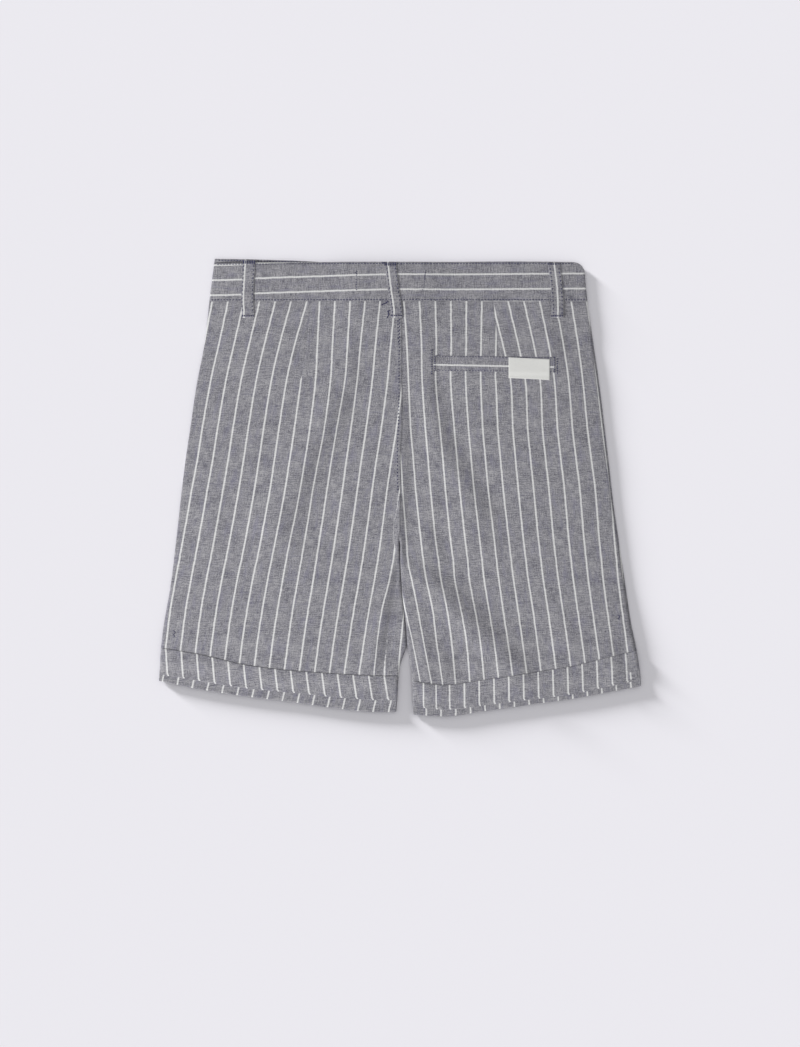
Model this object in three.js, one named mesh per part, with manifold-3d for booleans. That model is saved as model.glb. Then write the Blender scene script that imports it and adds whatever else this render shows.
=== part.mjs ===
// Child's striped chambray bermuda shorts, laid flat on a table with the back uppermost.
// Millimetres: X runs across the garment, Y from hems to waist, Z up from the table.
// The origin is on the table under the middle of the garment's outline.
// "drop" is a distance down the garment from the highest point of its waist.
import * as THREE from "three";
import { mergeVertices } from "three/addons/utils/BufferGeometryUtils.js";
import Module from "manifold-3d";

// Driving dimensions
const GARMENT_LENGTH = 389.2; // top of the waistband to the lowest hem
const CLOTH = 1.0; // wall of the panels and of the doubled waistband
const TRIM = 1.0; // wall of the turn-ups, belt loops, welt and label
const SEAM_GAP = 0.3; // between pieces that meet at a seam
const LAY_GAP = 0.3; // between the front and the back, lying on each other
const WAIST_SEAM = 36.5; // drop of the seam under the back waistband
const CENTRE_X = 1.2; // the centre seams, front and back
const CUFF_HEIGHT = 22.3; // turn-ups
const CURL = { reach: 0.18, rise: 0.8 }; // the front hems' last share of the turn-up curls up
const SETTLE = 26; // length over which cloth comes down to the table beside a thick spot
const LEGS_PART = 326; // drop down to which the two legs lie edge to edge
const LOOP_WIDTH = 10.2;
const LOOP_END = 50.6; // drop of the loops' lower ends
const BUTTON = { x: -12, radius: 7.5, thick: 2.2, shank: 1.2, hole: 0.9, holeRing: 2 };
const BUTTONHOLE = { length: 17, width: 3.2 };
const UNDERLAP = 29; // how far the right front waistband runs in behind the left
const WELT = { left: 28.5, right: 132.2, top: 82.4, bottom: 95.6, slope: 0.014 };
const LABEL = { left: 92.3, right: 127.2, top: 84, bottom: 101.5, slope: 0.05 };

const TOP_Y = GARMENT_LENGTH / 2;

const columns = (names, rows) =>
  rows.map((row) => Object.fromEntries(names.map((name, i) => [name, row[i]])));

// Outline of the body: the side seams and the edges of the two legs at the middle.
const OUTLINE = columns(
  ["drop", "sideLeft", "innerLeft", "innerRight", "sideRight"],
  [
    [0, -157.6, 1.2, 1.2, 156.0],
    [36.5, -162.2, 1.2, 1.2, 159.5],
    [73, -166.4, 1.5, 1.5, 164.7],
    [107, -173.0, 1.5, 1.5, 169.6],
    [141, -178.0, 1.5, 1.5, 173.8],
    [175, -183.0, 1.5, 1.5, 177.8],
    [209, -187.0, 1.2, 1.2, 181.7],
    [243, -190.8, -0.3, -0.3, 186.6],
    [277, -195.0, 1.0, 1.0, 191.7],
    [311, -200.9, 4.6, 4.6, 196.8],
    [326, -202.7, 5.6, 5.6, 200.0],
    [331, -203.3, 5.5, 6.2, 201.0],
    [346, -204.2, 0.2, 8.6, 203.4],
    [358, -205.0, -1.2, 10.0, 204.8],
    [375, -205.2, -2.2, 10.5, 205.2],
    [392, -205.2, -3.6, 11.5, 205.2],
  ],
);

// Hem lines of each leg, by the share of the leg's width from the side seam to the inseam.
const HEMS = {
  Left: columns(
    ["share", "cuffTop", "backHem", "frontHem"],
    [
      [0, 331.1, 353.6, 359.1],
      [0.16, 336.6, 358.9, 366.0],
      [0.36, 345.6, 365.4, 372.3],
      [0.56, 350.5, 369.2, 377.2],
      [0.76, 353.3, 373.4, 382.9],
      [0.89, 354.7, 375.3, 385.4],
      [1, 354.9, 375.6, 385.6],
    ],
  ),
  Right: columns(
    ["share", "cuffTop", "backHem", "frontHem"],
    [
      [0, 333.2, 358.1, 363.4],
      [0.18, 341.4, 365.5, 370.2],
      [0.31, 347.2, 370.9, 374.7],
      [0.5, 352.9, 375.4, 379.7],
      [0.69, 358.3, 380.0, 384.9],
      [0.84, 362.5, 383.6, 389.2],
      [0.92, 361.7, 382.9, 389.0],
      [1, 358.8, 380.6, 387.7],
    ],
  ),
};

// Top edge of the back waistband, by the share of its width from left to right.
const WAIST_TOP = columns(
  ["share", "drop"],
  [
    [0, 3.4],
    [0.35, 3.0],
    [0.6, 3.0],
    [0.8, 2.6],
    [0.95, 2.9],
    [0.98, 3.4],
    [0.993, 5.8],
    [1, 9.5],
  ],
);

// Top edge of the front waistband: above the back's at the left, dipping behind it at the centre.
const FRONT_WAIST = columns(
  ["x", "drop"],
  [
    [-160, 0.1],
    [-115, 0.9],
    [-62, 3.4],
    [0, 10.5],
    [70, 9.5],
    [160, 5.2],
  ],
);

// The largest folds of the back, as ridges: where each runs and how high it stands.
const FOLDS = [
  {
    name: "hipLeft",
    width: 24,
    path: columns(
      ["drop", "x", "height"],
      [
        [40, -40, 0.2],
        [73, -46, 0.9],
        [103, -50, 1.4],
        [146, -68, 1.7],
        [197, -92, 1.6],
        [240, -110, 0.8],
        [280, -127, 0],
      ],
    ),
  },
  {
    name: "inseamLeft",
    width: 11,
    path: columns(
      ["drop", "x", "height"],
      [
        [262, -5, 0],
        [285, -11, 0.8],
        [310, -17, 1.2],
        [333, -21, 1.0],
        [355, -26, 0.7],
        [375, -28, 0.3],
      ],
    ),
  },
  {
    name: "pocketRight",
    width: 17,
    path: columns(
      ["drop", "x", "height"],
      [
        [60, 19, 0],
        [100, 22, 0.6],
        [130, 26, 0.9],
        [158, 34, 1.1],
        [191, 52, 1.3],
        [220, 73, 1.0],
        [262, 84, 0],
      ],
    ),
  },
  {
    name: "legRight",
    width: 24,
    path: columns(
      ["drop", "x", "height"],
      [
        [236, 8, 0],
        [267, 20, 1.2],
        [299, 48, 1.7],
        [323, 72, 1.7],
        [347, 96, 1.2],
        [380, 108, 0.4],
      ],
    ),
  },
  {
    name: "inseamRight",
    width: 9,
    path: columns(
      ["drop", "x", "height"],
      [
        [290, 12, 0],
        [320, 19, 0.5],
        [337, 21, 0.9],
        [362, 24, 0.8],
        [384, 25, 0.4],
      ],
    ),
  },
];

// The stitched darts under the back waistband.
const DARTS = {
  Left: { top: [-75, 37], tip: [-83.5, 101], share: 0.56 },
  Right: { top: [79.5, 37], tip: [86, 98], share: 0.5 },
};
const DART_DEPTH = 0.6;
const DART_HALF = 3;

// Centre lines of the belt loops.
const LOOPS = {
  loop_back_left: { face: "back", path: [[-127.8, 1], [-129.5, 33], [-128.9, LOOP_END]] },
  loop_back_centre: { face: "back", path: [[-8.3, 3], [-5.7, 25], [-3.6, 39], [-2.6, LOOP_END]] },
  loop_back_right: { face: "back", path: [[130.6, 3.3], [133, 22], [133.9, 35], [133.9, LOOP_END]] },
  loop_front_left: { face: "front", path: [[-84, 3.4], [-84.5, 52]] },
  loop_front_right: { face: "front", path: [[84, 10.2], [84.5, 58]] },
};

// Reads a column of a table at a value of its first column, on a smooth curve through the rows.
function read(table, column, at) {
  const key = Object.keys(table[0])[0];
  const last = table.length - 1;
  if (at <= table[0][key]) return table[0][column];
  if (at >= table[last][key]) return table[last][column];
  const i = table.findIndex((row) => row[key] > at) - 1;
  const slope = (k) => {
    const a = table[Math.max(k - 1, 0)];
    const b = table[Math.min(k + 1, last)];
    return (b[column] - a[column]) / (b[key] - a[key]);
  };
  const span = table[i + 1][key] - table[i][key];
  const t = (at - table[i][key]) / span;
  const u = 1 - t;
  return (
    u * u * (1 + 2 * t) * table[i][column] +
    t * t * (3 - 2 * t) * table[i + 1][column] +
    t * u * span * (u * slope(i) - t * slope(i + 1))
  );
}

const clamp01 = (t) => Math.min(Math.max(t, 0), 1);
const ease = (t) => clamp01(t) ** 2 * (3 - 2 * clamp01(t));
// 1 within half of a spot, easing to 0 over the settling length beyond it
const plateau = (distance, half) => 1 - ease((distance - half) / SETTLE);

// How much lower than the back's the front's waist seam runs.
const frontDip = (x) => read(FRONT_WAIST, "drop", x) - 3.1;

// The leg that a point lies over, and its share of the way from side seam to middle.
function legAt(x, drop) {
  const side = x < read(OUTLINE, "innerLeft", drop) ? "Left" : "Right";
  const from = read(OUTLINE, "side" + side, drop);
  const to = read(OUTLINE, "inner" + side, drop);
  return { side, share: clamp01((x - from) / (to - from)) };
}

// How far the front's cloth is held off the table by the turn-ups, loops and button under it.
function frontRise(x, drop, spread = 0) {
  const { side, share } = legAt(x, drop);
  const cuffTop = read(HEMS[side], "frontHem", share) - CUFF_HEIGHT;
  const overCuff = (TRIM + SEAM_GAP) * plateau(cuffTop - drop, spread);
  const beyond = Math.max(drop - 56, 0);
  const overLoop = Object.values(LOOPS)
    .filter((loop) => loop.face === "front")
    .map(({ path }) => Math.hypot(Math.max(Math.abs(x - path[0][0]) - LOOP_WIDTH / 2, 0), beyond))
    .map((distance) => (TRIM + SEAM_GAP) * plateau(distance, 2 + spread));
  const fromButton = Math.hypot(x - BUTTON.x, drop - buttonDrop);
  const overButton = (BUTTON.thick + LAY_GAP) * plateau(fromButton, BUTTON.radius + 2 + spread);
  return Math.max(overCuff, ...overLoop, overButton);
}

const bandMiddle = (WAIST_SEAM + 3.1) / 2;
const buttonDrop = bandMiddle + frontDip(BUTTON.x);

// The air that the folds and the loosely lying cloth leave under the back. The crown of the
// cloth dies away at the side seams and towards the turn-ups.
function air(x, drop) {
  const { side, share } = legAt(x, drop);
  const aboveCuff = read(HEMS[side], "cuffTop", share) - drop;
  const crown =
    0.9 * ease(share / 0.14) * ease(aboveCuff / 50) * (0.75 + 0.25 * Math.sin(drop / 38 + x / 45));
  const ridges = FOLDS.map(({ path, width }) => {
    const away = Math.abs(x - read(path, "x", drop)) / width;
    return read(path, "height", drop) * (1 - ease(away));
  });
  return crown + ridges.reduce((sum, height) => sum + height, 0);
}

function dartGroove(side, x, drop) {
  const { top, tip } = DARTS[side];
  const along = (drop - top[1]) / (tip[1] - top[1]);
  const across = Math.abs(x - top[0] - (tip[0] - top[0]) * along);
  return along > 1 ? 0 : DART_DEPTH * Math.sqrt(1 - clamp01(along)) * (1 - clamp01(across / DART_HALF));
}

// Underside of the back's cloth: it lies on the front and on the front waistband's underlap.
function backUnder(x, drop) {
  const spread = 12;
  const overlap = CLOTH + SEAM_GAP;
  const fromUnderlap = Math.hypot(
    Math.max(Math.abs(x - (CENTRE_X - UNDERLAP / 2)) - UNDERLAP / 2, 0),
    Math.max(drop - WAIST_SEAM - frontDip(CENTRE_X), 0),
  );
  const overUnderlap = overlap * plateau(fromUnderlap, spread / 2);
  return frontRise(x, drop, spread) + CLOTH + LAY_GAP + overUnderlap + air(x, drop);
}

// A closed sheet of cloth over a grid. pointAt gives x, drop and the underside's height; every
// column runs down the garment, and the columns run from left to right.
function sheet(columnShares, rowShares, wall, pointAt) {
  const positions = [];
  const index = [];
  const across = columnShares.length;
  const down = rowShares.length;
  const layer = across * down;
  for (const raised of [wall, 0])
    for (const row of rowShares)
      for (const column of columnShares) {
        const { x, drop, under } = pointAt(column, row);
        positions.push(x, TOP_Y - drop, under + raised);
      }
  const quad = (a, b, c, d) => index.push(a, b, c, a, c, d);
  for (let r = 0; r < down - 1; r++)
    for (let c = 0; c < across - 1; c++) {
      const a = r * across + c;
      quad(a, a + across, a + across + 1, a + 1);
      quad(a + layer, a + layer + 1, a + layer + across + 1, a + layer + across);
    }
  for (let c = 0; c < across - 1; c++) {
    const low = (down - 1) * across + c;
    quad(c, c + 1, c + 1 + layer, c + layer);
    quad(low, low + layer, low + 1 + layer, low + 1);
  }
  for (let r = 0; r < down - 1; r++) {
    const left = r * across;
    const right = left + across - 1;
    quad(left, left + layer, left + across + layer, left + across);
    quad(right, right + across, right + across + layer, right + layer);
  }
  const geometry = new THREE.BufferGeometry();
  geometry.setAttribute("position", new THREE.Float32BufferAttribute(positions, 3));
  geometry.setIndex(index);
  geometry.computeVertexNormals();
  return geometry;
}

const evenly = (count) => Array.from({ length: count + 1 }, (_, i) => i / count);

// Rows of a leg panel: waist seam to settling line, settling line to turn-up, turn-up to hem.
const LEG_ROWS = [
  ...evenly(17),
  ...evenly(3).slice(1).map((t) => 1 + t),
  ...[0.41, 1 - CURL.reach, 1].map((t) => 2 + t),
];
const frontCurl = (stop) => CURL.rise * clamp01((stop - 3 + CURL.reach) / CURL.reach);

function legDrop(side, share, stop, face) {
  const dip = face === "front" ? frontDip(read(OUTLINE, "side" + side, WAIST_SEAM) * (1 - share)) : 0;
  const hem = read(HEMS[side], face + "Hem", share);
  const cuffTop = face === "front" ? hem - CUFF_HEIGHT : read(HEMS[side], "cuffTop", share);
  const hemAtSide = read(HEMS[side], face + "Hem", 0);
  const outerCuff = face === "front" ? hemAtSide - CUFF_HEIGHT : read(HEMS[side], "cuffTop", 0);
  const settled = outerCuff - SETTLE + (LEGS_PART - outerCuff + SETTLE) * share;
  const stops = [WAIST_SEAM + SEAM_GAP / 2 + dip, settled, cuffTop, hem];
  const zone = Math.min(Math.floor(stop), 2);
  return stops[zone] + (stops[zone + 1] - stops[zone]) * (stop - zone);
}

// A point of a leg, by its share of the width from the side seam, the leg's own middle edge kept
// half a seam gap off the other leg's.
function legX(side, share, drop) {
  const sign = side === "Left" ? -1 : 1;
  const outer = read(OUTLINE, "side" + side, drop);
  const inner = read(OUTLINE, "inner" + side, drop) + (sign * SEAM_GAP) / 2;
  return outer + (inner - outer) * share;
}

// Left to right, a left leg's columns run from its side seam and a right leg's from its middle.
const legShare = (side, column) => (side === "Left" ? column : 1 - column);

// Columns of a leg, left to right; the back's stand close together beside its dart.
function legColumns(side, face) {
  const dart = DARTS[side].share;
  const sliver = 0.017;
  const besideDart = evenly(13)
    .filter((share) => Math.abs(share - dart) > 0.03)
    .concat(dart - sliver, dart, dart + sliver);
  const shares = face === "front" ? evenly(13) : besideDart;
  return shares.map((share) => legShare(side, share)).sort((a, b) => a - b);
}

function backPanel(side) {
  const dart = DARTS[side];
  return sheet(legColumns(side, "back"), LEG_ROWS, CLOTH, (column, stop) => {
    const share = legShare(side, column);
    const drop = legDrop(side, share, stop, "back");
    const along = clamp01((drop - dart.top[1]) / (dart.tip[1] - dart.top[1]));
    const outer = legX(side, 0, drop);
    const inner = legX(side, 1, drop);
    const dartX = dart.top[0] + (dart.tip[0] - dart.top[0]) * along;
    const fade = 1 - ease((drop - dart.tip[1]) / 120);
    const middle = dart.share + ((dartX - outer) / (inner - outer) - dart.share) * fade;
    const bent =
      share < dart.share
        ? (share / dart.share) * middle
        : middle + ((share - dart.share) / (1 - dart.share)) * (1 - middle);
    const x = legX(side, bent, drop);
    return { x, drop, under: backUnder(x, drop) - dartGroove(side, x, drop) };
  });
}

function frontPanel(side) {
  return sheet(legColumns(side, "front"), LEG_ROWS, CLOTH, (column, stop) => {
    const share = legShare(side, column);
    const drop = legDrop(side, share, stop, "front");
    const x = legX(side, share, drop);
    return { x, drop, under: frontRise(x, drop) + frontCurl(stop) };
  });
}

// A turn-up lies on the outside of the leg's lowest stretch, on the panel's own rows.
function cuff(side, face) {
  return sheet(legColumns(side, face), [0, 0.41, 1 - CURL.reach, 1], TRIM, (column, row) => {
    const share = legShare(side, column);
    const drop = legDrop(side, share, 2 + row, face);
    const x = legX(side, share, drop);
    const onBack = backUnder(x, drop) + CLOTH + SEAM_GAP;
    return { x, drop, under: face === "front" ? frontCurl(2 + row) : onBack };
  });
}

const bandShares = evenly(40).concat(0.9875, 0.9965).sort((a, b) => a - b);

function backWaistband() {
  return sheet(bandShares, evenly(3), CLOTH, (share, row) => {
    const top = read(WAIST_TOP, "drop", share);
    const drop = top + (WAIST_SEAM - SEAM_GAP / 2 - top) * row;
    const left = read(OUTLINE, "sideLeft", drop);
    const x = left + (read(OUTLINE, "sideRight", drop) - left) * share;
    return { x, drop, under: backUnder(x, drop) };
  });
}

// The right front waistband steps in behind the left one and runs on as the underlap.
function frontWaistband(side) {
  const behind = CLOTH + SEAM_GAP;
  return sheet(evenly(24), evenly(3), CLOTH, (column, row) => {
    const flat = 3.1 + (WAIST_SEAM - SEAM_GAP / 2 - 3.1) * row;
    const outer = read(OUTLINE, "side" + side, flat);
    const middle = CENTRE_X - (side === "Right" ? UNDERLAP : SEAM_GAP / 2);
    const [from, to] = side === "Left" ? [outer, middle] : [middle, outer];
    const x = from + (to - from) * column;
    const drop = flat + frontDip(x);
    const step = side === "Right" ? behind * (1 - ease((x - CENTRE_X) / SETTLE)) : 0;
    return { x, drop, under: frontRise(x, drop) + step };
  });
}

// A belt loop bows a little off the band between its stitched ends.
function beltLoop({ face, path }) {
  const line = path.map(([x, drop]) => ({ drop, x }));
  const start = path[0][1];
  const length = path[path.length - 1][1] - start;
  return sheet([-0.5, 0, 0.5], evenly(10), TRIM, (across, along) => {
    const drop = start + length * along;
    const x = read(line, "x", drop) + across * LOOP_WIDTH;
    const bow = 0.5 * Math.sin(Math.PI * along);
    const on = backUnder(x, drop) + CLOTH + LAY_GAP + bow;
    return { x, drop, under: face === "front" ? 0 : on };
  });
}

// A flat piece sewn on the right back, its lower edge sloping a little.
function patch({ left, right, top, bottom, slope }, across, raised) {
  return sheet(evenly(across), evenly(2), TRIM, (column, row) => {
    const x = left + (right - left) * column;
    const drop = top + (bottom - top) * row + slope * (x - left);
    return { x, drop, under: backUnder(x, drop) + CLOTH + raised };
  });
}

const wasm = await Module();
wasm.setup();

function solid(geometry) {
  const bare = geometry.clone();
  bare.deleteAttribute("normal");
  bare.deleteAttribute("uv");
  const merged = mergeVertices(bare, 1e-4);
  return new wasm.Manifold(
    new wasm.Mesh({
      numProp: 3,
      vertProperties: new Float32Array(merged.attributes.position.array),
      triVerts: new Uint32Array(merged.index.array),
    }),
  );
}

function geometryOf(manifold) {
  const { vertProperties, triVerts } = manifold.getMesh();
  const geometry = new THREE.BufferGeometry();
  geometry.setAttribute("position", new THREE.Float32BufferAttribute(vertProperties, 3));
  geometry.setIndex(new THREE.BufferAttribute(triVerts, 1));
  geometry.computeVertexNormals();
  return geometry;
}

const buttonY = TOP_Y - buttonDrop;

function cutButtonhole(band) {
  const { length, width } = BUTTONHOLE;
  const slot = new THREE.BoxGeometry(length, width, 20).translate(BUTTON.x, buttonY, 0);
  return geometryOf(solid(band).subtract(solid(slot)));
}

// A four-hole button with a raised rim, and the wound thread that holds it to the underlap.
function button() {
  const { radius, thick, shank, hole, holeRing } = BUTTON;
  const reach = frontRise(BUTTON.x, buttonDrop) + CLOTH;
  const rim = 1.6;
  const well = 0.6;
  const profile = [
    [0, well],
    [radius - rim - 0.6, well],
    [radius - rim, 0],
    [radius - 0.5, 0],
    [radius, 0.6],
    [radius, thick - 0.6],
    [radius - 0.6, thick],
    [shank, thick],
    [shank, reach],
    [0, reach],
  ].map(([r, z]) => new THREE.Vector2(r, z));
  const turned = new THREE.LatheGeometry(profile, 20).rotateX(Math.PI / 2).scale(1, 1, -1);
  let made = solid(turned);
  if (made.volume() < 0) made = solid(turned.scale(1, 1, -1));
  for (let k = 0; k < 4; k++) {
    const angle = (k + 0.5) * (Math.PI / 2);
    const drill = new THREE.CylinderGeometry(hole, hole, 1.6, 8).rotateX(Math.PI / 2);
    drill.translate(holeRing * Math.cos(angle), holeRing * Math.sin(angle), well);
    made = made.subtract(solid(drill));
  }
  return geometryOf(made).translate(BUTTON.x, buttonY, 0);
}

const finishes = {
  chambray: { color: 0x86868f, roughness: 0.9, metalness: 0 },
  tape: { color: 0xdcdad4, roughness: 0.85, metalness: 0 },
  button: { color: 0x3c3f52, roughness: 0.4, metalness: 0 },
};

const shorts = new THREE.Group();

function add(name, geometry, finish = "chambray") {
  const mesh = new THREE.Mesh(geometry, new THREE.MeshStandardMaterial(finishes[finish]));
  mesh.name = name;
  shorts.add(mesh);
}

for (const side of ["Left", "Right"]) {
  const suffix = side.toLowerCase();
  add("back_" + suffix, backPanel(side));
  add("front_" + suffix, frontPanel(side));
  add("cuff_back_" + suffix, cuff(side, "back"));
  add("cuff_front_" + suffix, cuff(side, "front"));
}
add("waistband_back", backWaistband());
add("waistband_front_left", cutButtonhole(frontWaistband("Left")));
add("waistband_front_right", frontWaistband("Right"));
for (const [name, loop] of Object.entries(LOOPS)) add(name, beltLoop(loop));
add("pocket_welt", patch(WELT, 12, SEAM_GAP));
add("pocket_label", patch(LABEL, 4, SEAM_GAP + TRIM + SEAM_GAP), "tape");
add("button", button(), "button");

export default shorts;
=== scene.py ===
import math

import bpy
import numpy as np
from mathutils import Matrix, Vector


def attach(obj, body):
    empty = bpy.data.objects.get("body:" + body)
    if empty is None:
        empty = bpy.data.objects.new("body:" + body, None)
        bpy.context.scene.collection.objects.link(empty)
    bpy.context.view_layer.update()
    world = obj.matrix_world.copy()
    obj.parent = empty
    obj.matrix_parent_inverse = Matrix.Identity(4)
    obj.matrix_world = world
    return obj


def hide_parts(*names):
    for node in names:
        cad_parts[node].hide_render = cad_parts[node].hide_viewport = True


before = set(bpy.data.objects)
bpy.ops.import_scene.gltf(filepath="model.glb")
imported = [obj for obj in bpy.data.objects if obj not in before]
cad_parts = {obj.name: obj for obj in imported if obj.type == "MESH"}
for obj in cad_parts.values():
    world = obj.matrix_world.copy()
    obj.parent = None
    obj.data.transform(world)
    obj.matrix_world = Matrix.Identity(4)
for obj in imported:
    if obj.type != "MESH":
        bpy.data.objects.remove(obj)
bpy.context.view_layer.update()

# FRONT PANELS. They are the lowest cloth, right side down on the table, so only the wrong side
# of their hems shows, below the back's turn-ups. Plain-woven chambray, cut as two panels that
# meet at the fly and at the inseams. All sizes are in millimetres, "drop" being the distance
# down the garment from the highest point of its waist.
TOP_Y = 194.6
WAIST_SEAM = 36.5
CUFF_HEIGHT = 22.3
SETTLE = 26
LEGS_PART = 326
CENTRE_X = 1.2
SOLID_WALL = 1.0
WALL = 0.7
CURL_REACH, CURL_RISE = 0.18, 0.8
LOOP_WIDTH = 10.2
STRIPE_PITCH = 12.8
FRONT_LOOP_X = (-84.2, 84.2)
BUTTON_X = -12


def table(names, *rows):
    return dict(zip(names.split(), np.array(rows, float).T))


def read(rows, column, at):
    """The column's value at a value of the first column, on a smooth curve through the rows."""
    x, y = next(iter(rows.values())), rows[column]
    last = len(x) - 1
    before, after = np.maximum(np.arange(last + 1) - 1, 0), np.minimum(np.arange(last + 1) + 1, last)
    slope = (y[after] - y[before]) / (x[after] - x[before])
    at = np.clip(at, x[0], x[-1])
    i = np.clip(np.searchsorted(x, at, side="right") - 1, 0, last - 1)
    span = x[i + 1] - x[i]
    t = (at - x[i]) / span
    u = 1 - t
    ends = u * u * (1 + 2 * t) * y[i] + t * t * (3 - 2 * t) * y[i + 1]
    return ends + t * u * span * (u * slope[i] - t * slope[i + 1])


def ease(t):
    t = np.clip(t, 0, 1)
    return t * t * (3 - 2 * t)


def plateau(distance, half, spread=0.0):
    return 1 - ease((distance - half - spread) / (SETTLE + 3 * spread))


OUTLINE = table(
    "drop side_left inner_left inner_right side_right",
    [0, -157.6, 1.2, 1.2, 156.0],
    [36.5, -162.2, 1.2, 1.2, 159.5],
    [73, -166.4, 1.5, 1.5, 164.7],
    [107, -173.0, 1.5, 1.5, 169.6],
    [141, -178.0, 1.5, 1.5, 173.8],
    [175, -183.0, 1.5, 1.5, 177.8],
    [209, -187.0, 1.2, 1.2, 181.7],
    [243, -190.8, -0.3, -0.3, 186.6],
    [277, -195.0, 1.0, 1.0, 191.7],
    [311, -200.9, 4.6, 4.6, 196.8],
    [326, -202.7, 5.6, 5.6, 200.0],
    [331, -203.3, 5.5, 6.2, 201.0],
    [346, -204.2, 0.2, 8.6, 203.4],
    [358, -205.0, -1.2, 10.0, 204.8],
    [375, -205.2, -2.2, 10.5, 205.2],
    [392, -205.2, -3.6, 11.5, 205.2],
)
HEMS = {
    "left": table(
        "share cuff_top back front",
        [0, 331.1, 353.6, 359.1],
        [0.16, 336.6, 358.9, 366.0],
        [0.36, 345.6, 365.4, 372.3],
        [0.56, 350.5, 369.2, 377.2],
        [0.76, 353.3, 373.4, 382.9],
        [0.89, 354.7, 375.3, 385.4],
        [1, 354.9, 375.6, 385.6],
    ),
    "right": table(
        "share cuff_top back front",
        [0, 333.2, 358.1, 363.4],
        [0.18, 341.4, 365.5, 370.2],
        [0.31, 347.2, 370.9, 374.7],
        [0.5, 352.9, 375.4, 379.7],
        [0.69, 358.3, 380.0, 384.9],
        [0.84, 362.5, 383.6, 389.2],
        [0.92, 361.7, 382.9, 389.0],
        [1, 358.8, 380.6, 387.7],
    ),
}
FRONT_WAIST = table(
    "x drop",
    [-160, 0.1],
    [-115, 0.9],
    [-62, 3.4],
    [0, 10.5],
    [70, 9.5],
    [160, 5.2],
)
# Places of some numbered stripes down a front panel; the rest lie evenly between them.
FRONT_THREADS = {
    "left": table("drop 1 14", [45, -148.2, 7.6], [350, -200.2, -28.6], [372, -205.0, -33.1],
                  [394, -210.6, -38.4]),
    "right": table("drop 0 14", [45, 3.9, 172.0], [385, 22.4, 198.0]),
}


def leg_share(x, drop):
    """The share of the way from the side seam to the middle, on the leg that holds the point."""
    left = x < read(OUTLINE, "inner_left", drop)
    outer = np.where(left, read(OUTLINE, "side_left", drop), read(OUTLINE, "side_right", drop))
    inner = np.where(left, read(OUTLINE, "inner_left", drop), read(OUTLINE, "inner_right", drop))
    return np.clip((x - outer) / (inner - outer), 0, 1)


def hem_line(line, x, drop):
    left = x < read(OUTLINE, "inner_left", drop)
    share = leg_share(x, drop)
    return np.where(left, read(HEMS["left"], line, share), read(HEMS["right"], line, share))


def front_dip(x):
    return read(FRONT_WAIST, "drop", x) - 3.1


BUTTON_DROP = (WAIST_SEAM + 3.1) / 2 + float(front_dip(np.array(BUTTON_X)))


def front_rise(x, drop, spread=0.0):
    """How far the front is held off the table by its turn-ups, loops and button."""
    rise = 1.3 * plateau(hem_line("front", x, drop) - CUFF_HEIGHT - drop, 0, spread)
    for loop_x in FRONT_LOOP_X:
        aside = np.maximum(np.abs(x - loop_x) - LOOP_WIDTH / 2, 0)
        away = np.hypot(aside, np.maximum(drop - 56, 0))
        rise = np.maximum(rise, 1.3 * plateau(away, 2, spread))
    from_button = np.hypot(x - BUTTON_X, drop - BUTTON_DROP)
    return np.maximum(rise, 2.6 * plateau(from_button, 9.5, spread))


def leg_x(side, share, drop):
    middle = read(OUTLINE, "inner_" + side, drop) + (-0.15 if side == "left" else 0.15)
    outer = read(OUTLINE, "side_" + side, drop)
    return outer + (middle - outer) * share


def leg_drop(side, share, stop, face):
    """The drop at a stop: 0 waist seam, 1 above the turn-up, 2 its top edge, 3 the hem."""
    waist = leg_x(side, share, np.full_like(share, WAIST_SEAM))
    dip = front_dip(waist) if face == "front" else 0
    hem = read(HEMS[side], face, share)
    hem_at_side = HEMS[side][face][0]
    top = hem - CUFF_HEIGHT if face == "front" else read(HEMS[side], "cuff_top", share)
    top_at_side = hem_at_side - CUFF_HEIGHT if face == "front" else HEMS[side]["cuff_top"][0]
    settled = top_at_side - SETTLE + (LEGS_PART - top_at_side + SETTLE) * share
    stops = [WAIST_SEAM + 0.15 + dip, settled, top, hem]
    drop = np.zeros_like(share)
    for zone in range(3):
        inside = (stop >= zone) if zone == 2 else (stop >= zone) & (stop < zone + 1)
        reach = stops[zone] + (stops[zone + 1] - stops[zone]) * (stop - zone)
        drop = np.where(inside, reach, drop)
    return drop


def closer_at_ends(length, step, ends=(0.3, 0.8, 1.5, 2.4)):
    """Places from 0 to 1 along a length, a step apart, with closer ones beside both ends."""
    inner = np.linspace(3.6, length - 3.6, max(int((length - 7) / step), 2))
    near = np.array([0.0, *ends])
    return np.concatenate([near, inner, length - near[::-1]]) / length


def roll(distance, width, depth):
    """How far a rounded edge falls, at a distance in from it."""
    t = np.clip(distance / width, 0, 1)
    return depth * (1 - np.sqrt(np.clip(1 - (1 - t) ** 2, 0, 1)))


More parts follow.
